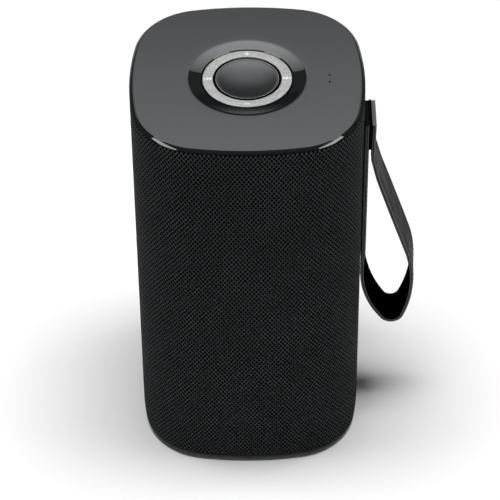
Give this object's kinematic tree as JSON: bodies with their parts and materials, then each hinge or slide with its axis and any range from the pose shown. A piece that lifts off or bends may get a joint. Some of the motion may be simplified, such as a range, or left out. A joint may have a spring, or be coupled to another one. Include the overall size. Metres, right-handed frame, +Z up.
{
  "type": "portable wireless speaker",
  "caption": "Upright fabric-wrapped wireless speaker with a dished control panel, four-way ring, centre button, leather hand loop and a flap over its rear sockets.",
  "frame": {"origin": "middle of the foot pad's underside, on the surface the speaker stands on", "axes": "+Z up along the body, the longest way; -Y is the front; the strap is on +X; the sockets are on +Y"},
  "size_m": [0.1303, 0.1049, 0.1935],
  "materials": {
    "fabric_sleeve": "black woven mesh",
    "grille_frame": "moulded, matt",
    "top_cover": "gloss black",
    "nav_ring": "satin silver",
    "ring_carrier": "moulded",
    "centre_button": "gloss black",
    "control_deck": "moulded",
    "key_mat": "silicone",
    "control_board": "circuit board",
    "tact_switches": "plated",
    "microphone": "plated can",
    "mic_boot": "soft rubber",
    "status_light": "diffuse",
    "light_pipe": "clear plastic",
    "cover_screws": "zinc plated",
    "deck_screws": "zinc plated",
    "chamber_shell": "moulded, matt",
    "chamber_lid": "moulded, matt",
    "driver_basket": "black paint",
    "motor_plate": "zinc plated",
    "motor_magnet": "ferrite",
    "motor_yoke": "zinc plated",
    "voice_coil": "enamelled wire",
    "driver_cone": "fibre cone",
    "dust_cap": "gloss",
    "driver_surround": "soft rubber",
    "driver_gasket": "foam",
    "driver_screws": "blackened",
    "radiator_frame": "moulded",
    "radiator_disc": "dark anodised",
    "radiator_surround": "soft rubber",
    "radiator_gasket": "foam",
    "radiator_screws": "blackened",
    "base_tray": "moulded, fine matt",
    "base_screws": "zinc plated",
    "foot_pad": "soft rubber",
    "battery_holder": "moulded",
    "battery_cells": "shrink sleeve",
    "battery_contacts": "nickel",
    "main_board": "circuit board",
    "board_screws": "zinc plated",
    "main_chips": "moulded",
    "radio_shield": "tinned",
    "capacitors": "bare can",
    "usb_socket": "stainless",
    "audio_socket": "moulded",
    "socket_panel": "moulded, fine matt",
    "socket_flap": "soft rubber",
    "control_cable": "flat film cable",
    "cable_sockets": "moulded",
    "driver_lead": "PVC",
    "lead_grommet": "soft rubber",
    "battery_lead": "PVC",
    "tab_inner": "fine grain",
    "tab_core": "moulded",
    "tab_outer": "fine grain",
    "strap_screws": "zinc plated",
    "strap_loop": "fine grain"
  },
  "bodies": {
    "housing": {"fabric_sleeve": "fabric_sleeve", "grille_frame": "grille_frame", "top_cover": "top_cover", "control_deck": "control_deck", "key_mat": "key_mat", "control_board": "control_board", "tact_switches": "tact_switches", "microphone": "microphone", "mic_boot": "mic_boot", "status_light": "status_light", "light_pipe": "light_pipe", "cover_screws": "cover_screws", "deck_screws": "deck_screws", "chamber_shell": "chamber_shell", "chamber_lid": "chamber_lid", "driver_basket": "driver_basket", "motor_plate": "motor_plate", "motor_magnet": "motor_magnet", "motor_yoke": "motor_yoke", "driver_surround": "driver_surround", "driver_gasket": "driver_gasket", "driver_screws": "driver_screws", "radiator_frame": "radiator_frame", "radiator_surround": "radiator_surround", "radiator_gasket": "radiator_gasket", "radiator_screws": "radiator_screws", "base_tray": "base_tray", "base_screws": "base_screws", "foot_pad": "foot_pad", "battery_holder": "battery_holder", "battery_cells": "battery_cells", "battery_contacts": "battery_contacts", "main_board": "main_board", "board_screws": "board_screws", "main_chips": "main_chips", "radio_shield": "radio_shield", "capacitors": "capacitors", "usb_socket": "usb_socket", "audio_socket": "audio_socket", "socket_panel": "socket_panel", "control_cable": "control_cable", "cable_sockets": "cable_sockets", "driver_lead": "driver_lead", "lead_grommet": "lead_grommet", "battery_lead": "battery_lead", "tab_inner": "tab_inner", "tab_core": "tab_core", "tab_outer": "tab_outer", "strap_screws": "strap_screws"},
    "ring_carrier": {"ring_carrier": "ring_carrier"},
    "control_ring": {"nav_ring": "nav_ring"},
    "button": {"centre_button": "centre_button"},
    "cone": {"driver_cone": "driver_cone", "dust_cap": "dust_cap", "voice_coil": "voice_coil"},
    "passive_disc": {"radiator_disc": "radiator_disc"},
    "flap": {"socket_flap": "socket_flap"},
    "hand_loop": {"strap_loop": "strap_loop"}
  },
  "joints": [
    {"name": "carrier_tilt", "type": "hinge", "parent": "housing", "child": "ring_carrier", "pos_m": [0, 0, 0.187], "axis": [0, 1, 0], "range_deg": [-1.2, 1.2], "stiffness_Nm_per_rad": 0.6},
    {"name": "ring_tilt", "type": "hinge", "parent": "ring_carrier", "child": "control_ring", "pos_m": [0, 0, 0.187], "axis": [1, 0, 0], "range_deg": [-1.2, 1.2], "stiffness_Nm_per_rad": 0.6},
    {"name": "button_press", "type": "slide", "parent": "housing", "child": "button", "axis": [0, 0, -1], "range_m": [0, 0.0008], "stiffness_N_per_m": 1500},
    {"name": "cone_travel", "type": "slide", "parent": "housing", "child": "cone", "axis": [0, -1, 0], "range_m": [-0.002, 0.002], "stiffness_N_per_m": 1200},
    {"name": "passive_travel", "type": "slide", "parent": "housing", "child": "passive_disc", "axis": [0, 1, 0], "range_m": [-0.0025, 0.0025], "stiffness_N_per_m": 900},
    {"name": "flap_hinge", "type": "hinge", "parent": "housing", "child": "flap", "pos_m": [0, 0.0523, 0.0391], "axis": [1, 0, 0], "range_deg": [0, 120], "stiffness_Nm_per_rad": 0.02},
    {"name": "loop_swing", "type": "hinge", "parent": "housing", "child": "hand_loop", "pos_m": [0.0577, 0, 0.1579], "axis": [0, -1, 0], "range_deg": [0, 150]}
  ]
}
